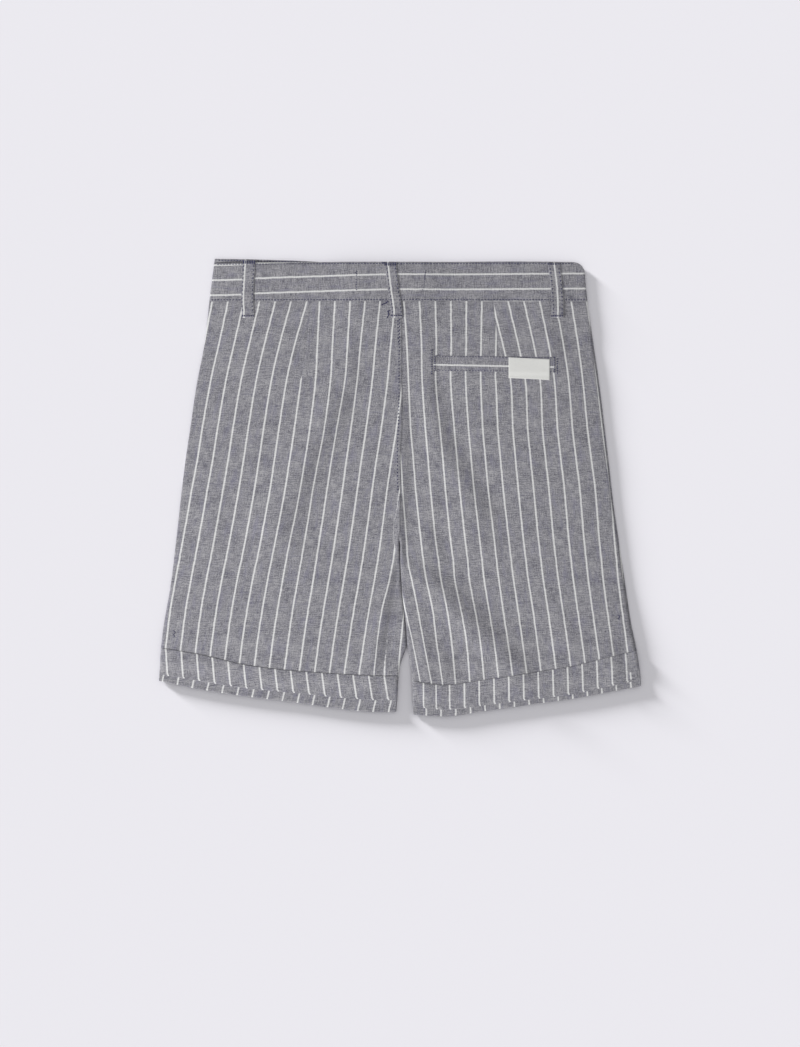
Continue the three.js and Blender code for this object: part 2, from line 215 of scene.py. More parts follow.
def cloth(name, x, drop, top, under, threads, along, split=None, beyond=None):
    """A closed sheet over a grid whose rows run down the garment and columns left to right.
    threads counts the stripes across and along the woven length; from the split column on,
    another piece of the cut begins, whose stripes are counted in beyond."""
    rows, across = x.shape
    layer = rows * across
    points = [np.stack([x, TOP_Y - drop, z], -1).reshape(-1, 3) for z in (top, under)]
    n = np.arange(layer).reshape(rows, across)
    a, b, c, d = n[:-1, :-1], n[:-1, 1:], n[1:, 1:], n[1:, :-1]
    upper = np.stack([a, d, c, b], -1).reshape(-1, 4)
    lower = np.stack([a, b, c, d], -1).reshape(-1, 4) + layer
    rim = [
        np.stack([n[0, :-1], n[0, 1:], n[0, 1:] + layer, n[0, :-1] + layer], -1),
        np.stack([n[-1, :-1], n[-1, :-1] + layer, n[-1, 1:] + layer, n[-1, 1:]], -1),
        np.stack([n[:-1, 0], n[:-1, 0] + layer, n[1:, 0] + layer, n[1:, 0]], -1),
        np.stack([n[:-1, -1], n[1:, -1], n[1:, -1] + layer, n[:-1, -1] + layer], -1),
    ]
    faces = np.concatenate([upper, lower, *rim])
    mesh = bpy.data.meshes.new(name)
    mesh.from_pydata((np.concatenate(points) / 1000).tolist(), [], faces.tolist())
    column = faces.min(1) % layer % across
    corner = faces % layer
    count = threads.reshape(-1)[corner]
    if split is not None:
        past = (column >= split)[:, None]
        count = np.where(past, beyond.reshape(-1)[corner], count)
    length = (along / STRIPE_PITCH).reshape(-1)[corner]
    uv = mesh.uv_layers.new(name="threads")
    uv.data.foreach_set("uv", np.stack([count, length], -1).astype(np.float32).reshape(-1))
    mesh.polygons.foreach_set("use_smooth", [True] * len(faces))
    mesh.set_sharp_from_angle(angle=math.radians(50))
    piece = bpy.data.objects.new(name, mesh)
    bpy.context.collection.objects.link(piece)
    return piece


class Wire:
    """A shader socket that can stand in a sum."""

    def __init__(self, tree, socket=None):
        self.tree, self.socket = tree, socket

    def node(self, kind, settings, inputs, out=0):
        made = self.tree.nodes.new("ShaderNode" + kind)
        for key, value in settings.items():
            if key == "stops":
                for k, (place, colour) in enumerate(value):
                    ramp = made.color_ramp.elements
                    stop = ramp[k] if k < len(ramp) else ramp.new(place)
                    stop.position, stop.color = place, (*colour, 1)
            else:
                setattr(made, key, value)
        for key, value in inputs.items():
            if isinstance(value, Wire):
                self.tree.links.new(value.socket, made.inputs[key])
            else:
                made.inputs[key].default_value = value
        return Wire(self.tree, made.outputs[out])

    def math(self, operation, first, second=0.0):
        return self.node("Math", {"operation": operation}, {0: first, 1: second})

    def __add__(self, other):
        return self.math("ADD", self, other)

    def __sub__(self, other):
        return self.math("SUBTRACT", self, other)

    def __rsub__(self, other):
        return self.math("SUBTRACT", other, self)

    def __mul__(self, other):
        return self.math("MULTIPLY", self, other)

    __radd__, __rmul__ = __add__, __mul__

    def wave(self):
        return self.math("SINE", self)

    def step(self, low, high):
        limits = {"Value": self, "From Min": low, "From Max": high}
        return self.node("MapRange", {"interpolation_type": "SMOOTHSTEP"}, limits)

    def mix(self, first, second):
        """first where this is 0, second where it is 1; both are colours."""
        ends = {"Factor": self, 6: first, 7: second}
        return self.node("Mix", {"data_type": "RGBA"}, ends, out=2)

    def vector(self, x, y, z=0.0):
        return self.node("CombineXYZ", {}, {0: x, 1: y, 2: z})

    def noise(self, place, detail=2.0, scale=1.0):
        size = {"Vector": place, "Scale": scale, "Detail": detail}
        return self.node("TexNoise", {}, size)


def finish_surface(name, make, roughness, sheen=0.0):
    """A material whose colour and height come from make(wire)."""
    material = bpy.data.materials.new(name)
    material.use_nodes = True
    tree = material.node_tree
    shader = tree.nodes["Principled BSDF"]
    shader.inputs["Roughness"].default_value = roughness
    shader.inputs["Specular IOR Level"].default_value = 0.2
    shader.inputs["Sheen Weight"].default_value = sheen
    colour, height, depth = make(Wire(tree))
    bump = Wire(tree).node("Bump", {}, {"Strength": 0.6, "Distance": depth, "Height": height})
    tree.links.new(colour.socket, shader.inputs["Base Color"])
    tree.links.new(bump.socket, shader.inputs["Normal"])
    return material


def chambray_weave(wire):
    """Blue-grey warp and paler slubbed weft, with a white warp stripe every half inch."""
    threads = wire.node("UVMap", {"uv_map": "threads"}, {})
    apart = {0: threads}
    count = wire.node("SeparateXYZ", {}, apart, out=0)
    length = wire.node("SeparateXYZ", {}, apart, out=1)
    across, along = count * STRIPE_PITCH, length * STRIPE_PITCH
    warp = wire.noise(wire.vector(across * 1.2, along * 0.14), detail=2)
    weft = wire.noise(wire.vector(across * 0.17, along * 1.3, 7), detail=2)
    grain = wire.noise(wire.vector(across * 1.1, along * 1.2, 3), detail=2)
    patch = wire.noise(wire.vector(across * 0.07, along * 0.09, 5), detail=2)
    tone = (warp - 0.5) * 0.62 + (weft - 0.5) * 0.95 + (grain - 0.5) * 1.05 + (patch - 0.5) * 0.4 + 0.5
    body = tone.step(0.0, 1.0).mix((0.088, 0.087, 0.113, 1), (0.412, 0.405, 0.422, 1))
    slub = wire.noise(wire.vector(across * 0.06, along * 0.8, 11), detail=1).step(0.58, 0.72)
    body = (slub * 0.25).mix(body, (0.13, 0.13, 0.20, 1))
    indigo = wire.noise(wire.vector(across * 0.25, along * 0.05, 13), detail=3).step(0.48, 0.72)
    body = (indigo * 0.3).mix(body, (0.18, 0.175, 0.26, 1))
    wander = (wire.noise(wire.vector(0.0, along * 0.15, 2), detail=1) - 0.5) * 0.05
    offset = wire.math("FRACT", count + wander + 0.5) - 0.5
    distance = wire.math("ABSOLUTE", offset) * STRIPE_PITCH
    stripe = 1 - distance.step(0.52, 0.90)
    white = (weft * 0.5 + grain * 0.5).step(0.2, 0.8).mix((0.50, 0.50, 0.51, 1), (0.83, 0.83, 0.82, 1))
    knit = (across * (2 * math.pi / 0.62)).wave() * (along * (2 * math.pi / 0.62)).wave()
    height = knit * 0.25 + weft * 0.8 + warp * 0.5 + stripe * 0.15
    return (stripe * 0.95).mix(body, white), height, 0.00025


chambray = finish_surface("striped_chambray_cloth", chambray_weave, roughness=0.92, sheen=0.08)


def lay(piece, node):
    """The cloth rides on the only body and stands for its solid."""
    piece.data.materials.append(chambray)
    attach(piece, "root")
    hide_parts(node)


def stripe_count(rows, x, drop, names=None):
    """The number of the stripe at a place, in even steps between the numbered ones."""
    names = names or list(rows)[1:]
    places = [read(rows, name, drop) for name in names]
    count = np.zeros_like(x)
    for k in range(len(names) - 1):
        step = (float(names[k + 1]) - float(names[k])) / (places[k + 1] - places[k])
        here = float(names[k]) + (x - places[k]) * step
        count = np.where((x >= places[k]) | (k == 0), here, count)
    return count


def hem_curl(stop):
    """The front hems' lowest few millimetres curl up off the table."""
    return CURL_RISE * np.clip((stop - 3 + CURL_REACH) / CURL_REACH, 0, 1)


def beside_line(points, x, drop):
    """How far a place is from a line of points, positive on its right, how far along, and the length."""
    points = np.array(points, float)
    steps = np.diff(points, axis=0)
    lengths = np.hypot(*steps.T)
    nearest, along = np.full(x.shape, 1e6), np.zeros(x.shape)
    for k, (run, length) in enumerate(zip(steps, lengths)):
        off_x, off_drop = x - points[k, 0], drop - points[k, 1]
        t = np.clip((off_x * run[0] + off_drop * run[1]) / length**2, 0, 1)
        away = np.hypot(off_x - t * run[0], off_drop - t * run[1])
        side = np.where(off_x * run[1] - off_drop * run[0] > 0, 1, -1)
        closer = away < np.abs(nearest)
        nearest = np.where(closer, side * away, nearest)
        along = np.where(closer, lengths[:k].sum() + t * length, along)
    return nearest, along, lengths.sum()


# Soft hollows in the face that lies down: depth, width and a line of (x, drop).
FRONT_CREASES = [
    (0.55, 6, (-24, 172), (-62, 196), (-108, 212)),
    (0.4, 5, (-34, 208), (-74, 240), (-120, 262)),
    (0.5, 7, (22, 176), (64, 202), (112, 222)),
    (0.35, 5, (36, 214), (72, 246), (112, 268)),
    (0.4, 9, (-98, 62), (-104, 150), (-122, 250)),
    (0.35, 10, (92, 66), (99, 160), (114, 262)),
    (0.4, 6, (-12, 206), (-30, 262), (-44, 318)),
    (0.35, 6, (16, 212), (36, 270), (50, 322)),
    (0.3, 5, (-150, 120), (-128, 136), (-96, 140)),
    (0.3, 5, (146, 112), (124, 130), (92, 138)),
]


def front_relief(x, drop):
    relief = np.zeros(x.shape)
    for depth, width, *points in FRONT_CREASES:
        away, along, length = beside_line(points, x, drop)
        held = ease(along / 24) * ease((length - along) / 24)
        relief = relief + depth * np.exp(-((away / width) ** 2)) * held
    return relief


fronts = {}
for side in ("left", "right"):
    shares = closer_at_ends(190, 3.0)
    stops = np.concatenate([np.linspace(0, 1, 100)[:-1], 1 + np.linspace(0, 1, 8)[:-1], 2 + closer_at_ends(24, 3)])
    share, stop = np.meshgrid(shares, stops)
    drop = leg_drop(side, share, stop, "front")
    x = leg_x(side, share, drop)
    if side == "right":
        x, drop, share = x[:, ::-1], drop[:, ::-1], share[:, ::-1]
    hem = read(HEMS[side], "front", share)
    x = np.where(drop > hem - CUFF_HEIGHT, x + (0.6 if side == "left" else -0.6) * (1 - 2 * share), x)
    stop = stop[:, ::-1] if side == "right" else stop
    rise = front_rise(x, drop) + front_relief(x, drop) + hem_curl(stop)
    rise = rise + (SOLID_WALL - WALL) * ease((stop - 2) * 4)
    top = rise + WALL - roll(hem - drop, 1.6, 0.6)
    under = np.minimum(rise, top - 0.3)
    fronts[side] = cloth("front_panel_" + side, x, drop, top, under, stripe_count(FRONT_THREADS[side], x, drop), drop)
    lay(fronts[side], "front_" + side)

# FRONT TURN-UPS. Each hem is turned up once on the outside and tacked at the seams. These two lie
# right on the table, under the front panels.
CUFF_WALL = 0.8
CUFF_THREADS = {
    "left": table("drop 0 14", [330, -199.2, -17.3], [392, -195.5, -7.6]),
    "right": table("drop 0 1 2 14", [330, 19.5, 30.2, 41.6, 190.8], [345, 19.7, 30.3, 41.8, 192.4],
                   [392, 20.2, 31.0, 42.4, 194.4]),
}


def turn_up(side, face):
    """The grid of a turn-up, its rows running from its free top edge to the fold of the hem."""
    share, stop = np.meshgrid(closer_at_ends(190, 2.2), 2 + closer_at_ends(23, 1.6))
    drop = leg_drop(side, share, stop, face)
    x = leg_x(side, share, drop)
    if side == "right":
        x, drop, share, stop = x[:, ::-1], drop[:, ::-1], share[:, ::-1], stop[:, ::-1]
    width = np.abs(read(OUTLINE, "side_" + side, drop) - read(OUTLINE, "inner_" + side, drop))
    return x, drop, share * width, (1 - share) * width, (stop - 2) * 23


for side in ("left", "right"):
    x, drop, from_side, from_middle, down = turn_up(side, "front")
    under = hem_curl(2 + down / 23)
    edge = np.minimum(from_side, from_middle)
    top = under + CUFF_WALL - roll(edge, 0.8, 0.4)
    stripes = stripe_count(CUFF_THREADS[side], x, drop)
    piece = cloth("front_turn_up_" + side, x, drop, top, under, stripes, drop)
    lay(piece, "cuff_front_" + side)

# FRONT WAISTBAND. A doubled straight band, its stripes along it. The wearer's left end has the
# buttonhole and laps over the right end, which runs on behind it and carries the button.
UNDERLAP = 29


def peep_lift(x, drop):
    """The left end's top edge stands up a little where it shows past the back."""
    return 0.8 * (1 - ease((drop - front_dip(x) - 4.0) / 2.2)) * ease((-58 - x) / 20)


def front_band(side):
    column, row = np.meshgrid(closer_at_ends(170, 3), closer_at_ends(33, 3))
    flat = 3.1 + (WAIST_SEAM + 0.5 - 3.1) * row
    outer = 0.997 * read(OUTLINE, "side_" + side, flat)
    if side == "right":
        outer = outer - 4 * (1 - ease((flat - 3.1) / 10))
    middle = CENTRE_X - (UNDERLAP if side == "right" else 0.15)
    start, end = (outer, middle) if side == "left" else (middle, outer)
    x = start + (end - start) * column
    drop = flat + front_dip(x)
    step = 1.3 * (1 - ease((x - CENTRE_X) / SETTLE)) if side == "right" else 0
    under = front_rise(x, drop) + step
    if side == "left":
        under = under + peep_lift(x, drop)
    return x, drop, under


for side in ("left", "right"):
    x, drop, under = front_band(side)
    along_band = (drop - front_dip(x)) / STRIPE_PITCH
    piece = cloth("front_waistband_" + side, x, drop, under + SOLID_WALL, under, along_band, x)
    lay(piece, "waistband_front_" + side)

# FRONT BELT LOOPS. Folded strips with a row of stitches down each edge, sewn to the band and the
# panel at their ends. They lie on the table under the front waistband.
for side, loop_x, start in (("left", FRONT_LOOP_X[0], 3.4), ("right", FRONT_LOOP_X[1], 10.2)):
    across, row = np.meshgrid(np.linspace(-0.5, 0.5, 9), np.linspace(0, 1, 24))
    x, drop = loop_x + across * LOOP_WIDTH, start + (51 - 3.4) * row
    piece = cloth("front_belt_loop_" + side, x, drop, 0 * x + 0.9, 0 * x, across * 0.8, drop)
    lay(piece, "loop_front_" + side)

# BACK PANELS. The cloth that shows most. Each has a stitched dart from the waist seam; the two
# are joined by the centre back seam, whose turnings are pressed under the left panel, and lie on
# the front in low folds.
DARTS = {
    "left": {"top": (-75, 37), "tip": (-83.5, 101), "share": 0.56},
    "right": {"top": (79.5, 37), "tip": (86, 98), "share": 0.5},
}
FOLDS = [
    (24, table("drop x height", [40, -40, 0.2], [73, -46, 0.9], [103, -50, 1.4], [146, -68, 1.7],
               [197, -92, 1.6], [240, -110, 0.8], [280, -127, 0])),
    (11, table("drop x height", [262, -5, 0], [285, -11, 0.8], [310, -17, 1.2], [333, -21, 1.0],
               [355, -26, 0.7], [375, -28, 0.3])),
    (17, table("drop x height", [60, 19, 0], [100, 22, 0.6], [130, 26, 0.9], [158, 34, 1.1],
               [191, 52, 1.3], [220, 73, 1.0], [262, 84, 0])),
    (24, table("drop x height", [236, 8, 0], [267, 20, 1.2], [299, 48, 1.7], [323, 72, 1.7],
               [347, 96, 1.2], [380, 108, 0.4])),
    (9, table("drop x height", [290, 12, 0], [320, 19, 0.5], [337, 21, 0.9], [362, 24, 0.8],
              [384, 25, 0.4])),
]
# Soft creases along lines of (x, drop). Each falls to its right, by its steepness, over the first
# to the last width on either side.
CREASES = [
    (0.08, 3.5, 4.5, (-37.3, 60), (-38.7, 106), (-42, 120)),
    (0.085, 11, 20, (-42, 112), (-47, 130), (-59, 152), (-70, 172), (-87, 210), (-98, 246)),
    (0.15, 5, 7.5, (4.4, 108), (5.8, 145), (6.6, 210), (4.2, 272)),
    (0.3, 2.3, 2.6, (2.2, 192), (2.8, 225), (2.2, 264)),
    (0.13, 4, 6.5, (0.4, 254), (-6.5, 288), (-10.7, 313), (-17, 346)),
    (0.1, 3.5, 3.5, (28, 60), (30, 108), (31, 124)),
    (0.09, 6, 14, (29, 98), (33, 130), (43, 158), (61.6, 191), (84, 226)),
    (0.095, 12, 17, (14, 250), (26, 265), (50, 285), (71, 307), (90, 328), (118, 358)),
    (0.1, 9, 9, (32, 318), (50, 366)),
    (0.13, 6.5, 7, (22, 218), (38, 262)),
    (0.08, 9, 11, (58, 196), (78, 250)),
    (0.08, 8, 10, (124, 34), (146, 92)),
    (0.06, 7, 7, (84, 94), (96, 136)),
    (0.05, 8, 8, (146, 110), (152, 160)),
    (0.06, 7, 7, (138, 292), (154, 334)),
    (0.11, 8, 9, (176, 316), (196, 370)),
    (0.06, 9, 9, (96, 300), (128, 336)),
    (0.05, 7, 7, (-148, 200), (-162, 256)),
    (0.1, 4, 4, (-3, 230), (-16, 262)),
    (0.2, 2, 2, (3, 340), (-13, 360)),
    (-0.2, 2, 2, (13, 345), (31, 365)),
]
# How far the turned-up hems settle onto the front below them.
HEM_SAG = 1.5
BACK_THREADS = {
    "left": table(
        "drop 1 6 8 9 10 11 14 15 16 17",
        [30.0, -145.0, -77.5, -68.0, -55.0, -42.0, -29.0, 9.0, 21.8, 34.6, 47.4],
        [45.6, -148.2, -81.7, -68.8, -55.8, -42.9, -30.6, 7.6, 20.4, 33.2, 46.0],
        [73.6, -154.2, -89.6, -70.2, -57.4, -44.5, -33.7, 5.0, 17.8, 30.6, 43.4],
        [103.4, -160.9, -96.4, -71.8, -59.0, -46.7, -36.5, 2.4, 15.2, 28.0, 40.8],
        [145.9, -168.4, -103.1, -76.8, -64.4, -54.1, -41.9, -3.2, 9.6, 22.4, 35.2],
        [171.4, -172.4, -106.8, -80.7, -69.4, -58.4, -45.6, -7.3, 5.5, 18.3, 31.1],
        [196.9, -177.2, -110.5, -84.9, -74.3, -62.2, -49.0, -11.0, -0.2, 14.6, 27.4],
        [214, -180.1, -113.5, -88.1, -76.9, -64.7, -51.5, -13.1, -2.2, 12.4, 25.2],
        [247.9, -186.2, -119.9, -95.2, -82.5, -69.9, -56.6, -17.6, -4.6, 8.2, 21.0],
        [273.4, -190.9, -125.4, -99.8, -86.9, -73.8, -60.7, -21.7, -9.0, 2.5, 15.0],
        [298.9, -195.3, -130.0, -104.2, -91.3, -78.1, -65.0, -26.3, -15.4, -4.0, 8.0],
        [324.4, -198.4, -133.9, -108.1, -94.9, -81.9, -68.9, -30.4, -19.0, -11.1, 0.5],
        [351.6, -201.9, -137.3, -111.5, -98.5, -85.6, -72.5, -34.6, -21.8, -13.9, -3.0],
    ),
    "right": table(
        "drop -2 -1 0 1 2 5 7 9 12",
        [30.0, -23.0, -10.2, 2.6, 16.2, 29.9, 69.7, 77.0, 103.8, 144.5],
        [45.6, -22.0, -9.0, 3.9, 17.0, 30.2, 69.4, 80.6, 107.4, 147.1],
        [73.6, -20.0, -7.0, 5.8, 18.3, 30.9, 68.9, 87.5, 113.8, 151.6],
        [103.4, -18.0, -5.0, 7.2, 18.8, 30.3, 68.6, 94.0, 119.2, 155.4],
        [145.9, -16.0, -3.0, 9.2, 21.7, 34.2, 70.5, 96.1, 121.3, 159.6],
        [170, -12.0, 0.6, 11.2, 23.8, 36.4, 72.6, 98.2, 123.8, 162.6],
        [196.9, -10.0, 2.3, 13.3, 26.0, 38.7, 75.1, 100.7, 126.7, 166.1],
        [236.0, -7.0, 5.3, 17.4, 29.9, 42.6, 79.8, 104.6, 130.3, 169.2],
        [258.0, -5.0, 6.8, 20.0, 32.9, 45.4, 82.2, 107.2, 132.8, 171.4],
        [273.4, -1.0, 10.0, 22.4, 35.0, 46.6, 84.1, 109.1, 134.7, 172.9],
        [298.9, 4.5, 15.1, 27.8, 40.0, 51.8, 87.7, 113.1, 138.4, 176.2],
        [324.4, 10.3, 19.7, 30.8, 43.7, 56.3, 91.5, 116.5, 142.1, 179.7],
        [361.0, 17.4, 26.8, 36.1, 47.2, 59.5, 96.5, 121.0, 147.0, 184.5],
    ),
}
# The left of the two columns beside the dart.
BESIDE_DART = {"left": "6", "right": "5"}
# The left leg's inner edge tucks under a sharp fold, which hides a stripe; another shows past it.
TUCK = table(
    "drop x stripe depth",
    [196, 1.6, 8.0, 0],
    [202, -0.5, 6.0, 0.25],
    [214, -2.6, 4.6, 0.3],
    [222, -4.4, 3.6, 0.35],
    [236, -5.6, 2.8, 0.4],
    [245, -4.0, 3.6, 0.5],
    [254, -0.4, 6.6, 0.9],
    [263, -1.3, 7.4, 1.4],
    [280, -3.9, 5.6, 1.15],
    [300, -7.4, 3.4, 0.7],
    [324, -11.4, 1.0, 0.45],
    [340, -13.2, -0.6, 0.35],
    [356, -15.0, -0.8, 0.2],
)


def air(x, drop):
    """The air under the back's cloth: a crown that dies at the side seams, and the folds."""
    share = leg_share(x, drop)
    crown = ease(share / 0.14) * ease((hem_line("cuff_top", x, drop) - drop) / 50)
    height = 0.9 * crown * (0.75 + 0.25 * np.sin(drop / 38 + x / 45))
    for width, path in FOLDS:
        away = np.abs(x - read(path, "x", drop)) / width
        height = height + read(path, "height", drop) * (1 - ease(away))
    return height


def back_under(x, drop):
    aside = np.maximum(np.abs(x - (CENTRE_X - UNDERLAP / 2)) - UNDERLAP / 2, 0)
    below = np.maximum(drop - WAIST_SEAM - front_dip(np.array(CENTRE_X)), 0)
    over_underlap = 1.3 * (1 - ease((np.hypot(aside, below) - 6) / 60))
    return front_rise(x, drop, 12) + SOLID_WALL + 0.3 + over_underlap + air(x, drop)


def crease_relief(x, drop):
    relief = 0.1 * np.sin(x / 7.3 + drop / 31) * np.sin(drop / 17 - x / 40)
    for steep, first, last, *points in CREASES:
        away, along, length = beside_line(points, x, drop)
        width = first + (last - first) * along / length
        held = ease(along / 16) * ease((length - along) / 16)
        relief = relief - steep * away * np.exp(0.5 - 0.5 * (away / width) ** 2) * held
    past = x - read(TUCK, "x", drop)
    beside = np.where(past < 0, np.exp(-(past / 6.0) ** 2), np.exp(-(past / 0.8) ** 2))
    tucked = np.where(drop > TUCK["drop"][0], read(TUCK, "depth", drop), 0) * beside
    relief = relief - tucked * (x < read(OUTLINE, "inner_left", drop))
    gather = np.exp(-((drop - WAIST_SEAM) / 16) ** 2) * ease((100 - np.abs(x - 5)) / 40)
    return relief + 0.2 * gather * np.sin(x / 2.1 + 0.6 * np.sin(x / 9))


def back_top(x, drop):
    return back_under(x, drop) + SOLID_WALL + crease_relief(x, drop)


for side in ("left", "right"):
    dart = DARTS[side]
    at_dart = np.array([-2.0, -1.2, -0.6, 0, 0.6, 1.2, 2.0]) / 170
    shares = closer_at_ends(180, 2.0)
    shares = np.sort(np.concatenate([shares[np.abs(shares - dart["share"]) > 0.018], dart["share"] + at_dart]))
    if side == "left":
        shares = np.sort(np.concatenate([shares[(shares < 0.92) | (shares > 0.985)], np.linspace(0.92, 0.985, 14)]))
    stops = np.concatenate([np.linspace(0, 1, 150)[:-1], 1 + np.linspace(0, 1, 14)[:-1], 2 + closer_at_ends(22, 3)])
    share, stop = np.meshgrid(shares, stops)
    drop = leg_drop(side, share, stop, "back")
    cuff_top, hem = read(HEMS[side], "cuff_top", share), read(HEMS[side], "back", share)
    # the cut runs on a little under the waistband
    drop = drop - 2.2 * np.clip(1 - stop / 0.02, 0, 1)
    (top_x, top_drop), (tip_x, tip_drop) = dart["top"], dart["tip"]
    along = np.clip((drop - top_drop) / (tip_drop - top_drop), 0, 1)
    outer, inner = leg_x(side, 0, drop), leg_x(side, 1, drop)
    fade = 1 - ease((drop - tip_drop) / 120)
    dart_x = top_x + (tip_x - top_x) * along
    middle = dart["share"] + ((dart_x - outer) / (inner - outer) - dart["share"]) * fade
    to_dart = share / dart["share"] * middle
    past_dart = middle + (share - dart["share"]) / (1 - dart["share"]) * (1 - middle)
    x = outer + (inner - outer) * np.where(share < dart["share"], to_dart, past_dart)
    sign = 1 if side == "left" else -1
    from_side, from_middle = sign * (x - outer), sign * (inner - x)
    # inside the turn-up the panel stands back from its folded edges
    tucked = ease((drop - cuff_top) / 4)
    x = x + sign * tucked * (1.6 * (1 - ease(from_side / 12)) - 1.6 * (1 - ease(from_middle / 12)))
    drop = drop - tucked * 1.8 * ease((drop - cuff_top) / (hem - cuff_top))
    apart = ease((drop - 232) / 12)
    drawn_in = 1.1 * ease((drop - 148) / 14) * ease((232 - drop) / 16)
    if side == "left":
        x = x - drawn_in * (1 - ease(from_middle / 6))
    if side == "right":
        x = x - 2.4 * (1 - ease(from_middle / 6)) * (1 - apart)
        x = x - 1.5 * (1 - ease(from_side / 8)) * ease((drop - 50) / 20)
    top = back_top(x, drop)
    top = top - roll(drop - WAIST_SEAM, 1.0, 0.12) - 0.7 * ease((WAIST_SEAM - 0.1 - drop) / 0.8)
    floor = front_rise(x, drop) + 2 * WALL + 0.1
    down_side = roll(from_side, 2.8, np.maximum(top - floor, 0))
    down_inseam = roll(from_middle, 2.6, np.maximum(top - floor, 0)) * apart
    seam = roll(from_middle, 1.0, 0.15) if side == "left" else 0.6 * (1 - ease((from_middle - 5) / 12))
    top = top - down_side - down_inseam - seam * (1 - apart)
    top = np.maximum(top - HEM_SAG * ease((stop - 2.3) / 0.6), np.minimum(top, floor))
    fading = np.sqrt(np.clip((tip_drop - drop) / (tip_drop - top_drop), 0, 1))
    top = top - 0.35 * fading * np.exp(-((x - dart_x) / 0.9) ** 2)
    flip = slice(None, None, sign)
    rows = BACK_THREADS[side]
    names = list(rows)[1:]
    beside = names.index(BESIDE_DART[side]) + 1
    whole = stripe_count(rows, x, drop)
    if side == "left":
        past_tuck = (x > read(TUCK, "x", drop)) & (drop > TUCK["drop"][0])
        whole = np.where(past_tuck, 16 + (x - read(TUCK, "stripe", drop)) / 12.3, whole)
    near = np.where(drop < tip_drop, stripe_count(rows, x, drop, names[:beside]), whole)
    far = np.where(drop < tip_drop, stripe_count(rows, x, drop, names[beside:]), whole)
    column = int(np.argmin(np.abs(shares - dart["share"])))
    column = column if side == "left" else len(shares) - 1 - column
    x, drop, top, near, far = (part[:, flip] for part in (x, drop, top, near, far))
    piece = cloth("back_panel_" + side, x, drop, top, top - WALL, near, drop, column, far)
    lay(piece, "back_" + side)

# STITCHING. Navy thread, about ten stitches to the inch. One stitch is a small rounded bead of
# thread, copied along each row; a bar tack is a close row of stitches laid across its line.
stitch_thread = finish_surface(
    "navy_stitching",
    lambda wire: (
        wire.noise(wire.node("TexCoord", {}, {}, out=3), detail=1, scale=900)
        .step(0.3, 0.7)
        .mix((0.014, 0.015, 0.062, 1), (0.034, 0.036, 0.13, 1)),
        wire.noise(wire.node("TexCoord", {}, {}, out=3), detail=1, scale=2500),
        0.0001,
    ),
    roughness=0.7,
)
bpy.ops.object.select_all(action="DESELECT")
bpy.ops.mesh.primitive_uv_sphere_add(segments=6, ring_count=4, radius=0.5)
bead = bpy.context.object
bead_points = np.array([v.co for v in bead.data.vertices])
bead_faces = [list(p.vertices) for p in bead.data.polygons]
bpy.data.objects.remove(bead)


def sew(name, rows, height, lift=0.2):
    """Rows of stitches in one piece. A row is (points, pitch, length, width, turned), its points
    being (x, drop); turned stitches lie across the row."""
    points, faces = [], []
    for line, pitch, length, width, turned in rows:
        line = np.array(line, float)
        legs = np.hypot(*np.diff(line, axis=0).T)
        reach = np.concatenate([[0], np.cumsum(legs)])
        places = np.arange(pitch / 2, reach[-1], pitch)
        x, drop = np.interp(places, reach, line[:, 0]), np.interp(places, reach, line[:, 1])
        ahead = [np.interp(places + 0.3, reach, line[:, k]) - np.interp(places - 0.3, reach, line[:, k]) for k in (0, 1)]
        angle = np.arctan2(-ahead[1], ahead[0]) + (math.pi / 2 if turned else 0)
        z = height(x, drop) + lift
        dx, dy = np.cos(angle) * length / 2, np.sin(angle) * length / 2
        rise = (height(x + dx, drop - dy) - height(x - dx, drop + dy)) / length
        for px, py, pz, a, slope in zip(x, TOP_Y - drop, z, angle, rise):
            local = bead_points * (length, width, width * 0.8)
            turned_x = local[:, 0] * math.cos(a) - local[:, 1] * math.sin(a)
            turned_y = local[:, 0] * math.sin(a) + local[:, 1] * math.cos(a)
            start = len(points)
            lifted = pz + local[:, 2] + local[:, 0] * slope
            points += list(zip(turned_x + px, turned_y + py, lifted))
            faces += [[start + i for i in face] for face in bead_faces]
    mesh = bpy.data.meshes.new(name)
    mesh.from_pydata((np.array(points) / 1000).tolist(), [], faces)
    mesh.polygons.foreach_set("use_smooth", [True] * len(faces))
    piece = bpy.data.objects.new(name, mesh)
    bpy.context.collection.objects.link(piece)
    piece.data.materials.append(stitch_thread)
    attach(piece, "root")
    return piece


def row(*line, pitch=2.55, length=1.4, width=0.82):
    return line, pitch, length, width, False


def tack(*line, pitch=1.5, length=1.6):
    return line, pitch, length, 0.85, True


SEAM_ROW = [(-0.4, 39), (-0.5, 60), (-0.9, 90), (-0.9, 120), (-1.6, 145), (-2.4, 163), (-2.2, 180), (-1.8, 199)]
second_row = [(-1.6, 46), (-1.8, 56), (-1.4, 74)]
sew("centre_seam_stitching", [row(*SEAM_ROW, pitch=2.95), row(*second_row, pitch=2.95)], back_top)
side_tacks = [
    row((-193.2, 316.4), (-191.5, 316.8), (-191.2, 318.6), (-192.8, 319.6), (-191.4, 321.2), (-193, 322),
        pitch=0.9, length=0.8, width=0.6),
    row((185.0, 303.2), (186.6, 303.6), (186.8, 305.2), (185.4, 306.2), (186.6, 307.4),
        pitch=0.9, length=0.8, width=0.6),
]
sew("turn_up_side_tacks", side_tacks, back_top)

# the front waistband's top edge, where it stands past the back's
peeping = [(px, float(front_dip(np.array(px))) + 3.1 + 1.2) for px in range(-155, -58, 4)]
sew("peeping_edge_stitching", [row(*peeping)], lambda x, drop: front_rise(x, drop) + SOLID_WALL + peep_lift(x, drop))

# the rows on the outside of the front, which lies down
def front_face(x, drop):
    return front_rise(x, drop) + 0.05


